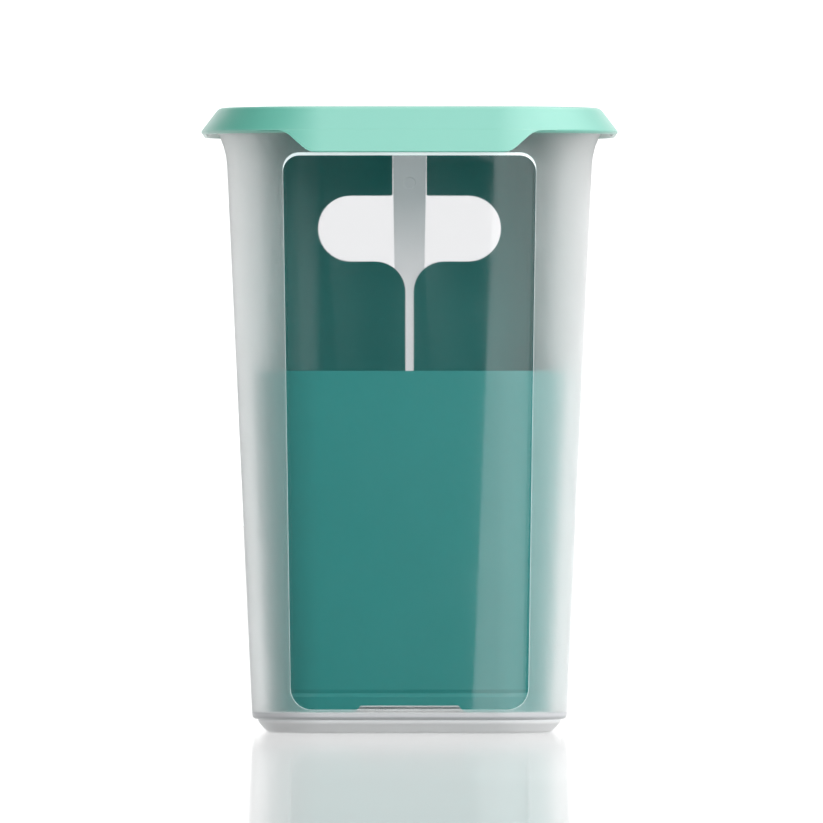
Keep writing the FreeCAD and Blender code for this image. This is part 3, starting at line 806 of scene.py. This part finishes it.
# %% [markdown]
# ### The room
# Clear plastic is seen by what it mirrors. The room is bright from the sides to the rear and dark in
# front, a little less so at the left, and more light comes from overhead on the right. The leaning front
# window mirrors the dark side and so looks clear. The camera itself sees plain white. Rays that a flat
# top or the table has mirrored upwards early on their way meet white walls all round, because the table
# would look grey from behind otherwise.

# %% Light from the room
ROOM_BRIGHTNESS, LEFT_BRIGHTNESS, OVERHEAD_BRIGHTNESS = 1.33, 0.08, 2.6
TWO_BOUNCES, THREE_BOUNCES = 2.2, 2.8       # between these a ray stops counting as early

world = bpy.data.worlds.new("bright_room")
bpy.context.scene.world = world
world.use_nodes = True
nodes, links = world.node_tree.nodes, world.node_tree.links


def ramp(source, start, end, dark, bright):
    """Brightness that rises from dark to bright as the source goes from start to end."""
    reach = nodes.new("ShaderNodeMapRange")
    reach.interpolation_type = "SMOOTHSTEP"
    for socket, number in (("From Min", start), ("From Max", end), ("To Min", dark), ("To Max", bright)):
        reach.inputs[socket].default_value = number
    links.new(source, reach.inputs["Value"])
    return reach.outputs["Result"]


def joined(operation, first, second):
    """MAXIMUM gives the brighter of two and MULTIPLY keeps only what both let through."""
    step = nodes.new("ShaderNodeMath")
    step.operation = operation
    links.new(first, step.inputs[0])
    links.new(second, step.inputs[1])
    return step.outputs["Value"]


direction = nodes.new("ShaderNodeTexCoord")
axes = nodes.new("ShaderNodeSeparateXYZ")
links.new(direction.outputs["Generated"], axes.inputs["Vector"])
around = ramp(axes.outputs["Y"], -0.58, 0.02, 0.0, ROOM_BRIGHTNESS)
left = ramp(axes.outputs["X"], -0.04, -0.16, 0.0, LEFT_BRIGHTNESS)
below_roof = ramp(axes.outputs["Z"], 0.3, 0.6, 1.0, 0.0)
overhead = ramp(axes.outputs["Z"], 0.35, 0.8, 0.0, 1.0)
rightwards = ramp(axes.outputs["X"], -0.35, 0.2, 0.0, OVERHEAD_BRIGHTNESS)
background = nodes["Background"]
background.inputs["Color"].default_value = (1, 1, 1, 1)
path = nodes.new("ShaderNodeLightPath")
early = ramp(path.outputs["Ray Depth"], TWO_BOUNCES, THREE_BOUNCES, 1.0, 0.0)
mirrored_early = joined("MULTIPLY", path.outputs["Is Glossy Ray"], early)
upwards = ramp(axes.outputs["Z"], 0.0, 0.01, 0.0, ROOM_BRIGHTNESS)
table_sees = joined("MULTIPLY", mirrored_early, upwards)
walls = joined("MULTIPLY", joined("MAXIMUM", joined("MAXIMUM", around, left), table_sees), below_roof)
room = joined("MAXIMUM", walls, joined("MULTIPLY", overhead, rightwards))
links.new(joined("MAXIMUM", room, path.outputs["Is Camera Ray"]), background.inputs["Strength"])
print("room:", len(nodes), "nodes")

# %% [markdown]
# ### Two soft lights
# The room alone would leave the front flat. A large soft light at the right front brightens the teal and
# the lid, and a weaker one at the left front keeps the other side from going dull. The camera doesn't
# see either, but the plastic does.

# %% Soft lights
AIM = Vector((0, 0, 0.1))       # the middle of the keeper


def soft_light(name, wide, tall, brightness, place):
    """A rectangle of light, wide x tall metres, aimed at the keeper. The brightness is per square metre."""
    light = bpy.data.lights.new(name, "AREA")
    light.shape = "RECTANGLE"
    light.size, light.size_y = wide, tall
    light.energy = brightness * wide * tall
    lamp = bpy.data.objects.new(name, light)
    lamp.location = place
    lamp.rotation_euler = (AIM - lamp.location).to_track_quat("-Z", "Y").to_euler()
    lamp.visible_camera = False
    bpy.context.scene.collection.objects.link(lamp)
    return lamp


soft_light("key_light", wide=0.9, tall=0.8, brightness=10.2, place=(0.58, -0.76, 0.6))
soft_light("fill_light", wide=0.9, tall=0.9, brightness=4.9, place=(-0.6, -0.9, 0.75))
print("keeper's middle:", AIM.z, "m above the table")

# %% [markdown]
# ### The strip of light
# The third light stands upright and close at the right front, and leans a little to the right. It is so
# low that half of it is below the table, which lets mirrored rays through. What counts is its mirror
# image in the front window, a pale strip beside the right edge that widens downwards, because the light
# leans.

# %% The strip of light
STRIP_LEAN = math.radians(2.3)
strip_place = (0.355, -0.66, -0.025)
strip_light = soft_light("strip_light", wide=0.66, tall=0.5, brightness=5.4, place=strip_place)
upright = Matrix.Rotation(math.radians(90), 3, "X")
strip_light.rotation_euler = (Matrix.Rotation(STRIP_LEAN, 3, "Y") @ upright).to_euler()
print("strip light leans by", round(math.degrees(STRIP_LEAN), 1), "degrees")

# %% [markdown]
# ### The camera
# A long lens from five metres away keeps the upright edges upright, and shows the front square on. The
# Standard view leaves the white table white, where a film-like view would grey it.

# %% Camera and colours
FOCAL_LENGTH, CAMERA_FAR = 679, 50
CAMERA_SIDE, CAMERA_AWAY, CAMERA_HEIGHT = 0.00064, 5.0, 0.1028

lens = bpy.data.cameras.new("camera")
lens.lens = FOCAL_LENGTH
lens.clip_end = CAMERA_FAR
camera = bpy.data.objects.new("camera", lens)
camera.location = (CAMERA_SIDE, -CAMERA_AWAY, CAMERA_HEIGHT)
camera.rotation_euler = (math.radians(90), 0, 0)
bpy.context.scene.collection.objects.link(camera)
scene = bpy.context.scene
scene.camera = camera
scene.view_settings.view_transform = "Standard"
scene.cycles.use_denoising = True
print("camera at", tuple(round(v, 4) for v in camera.location))
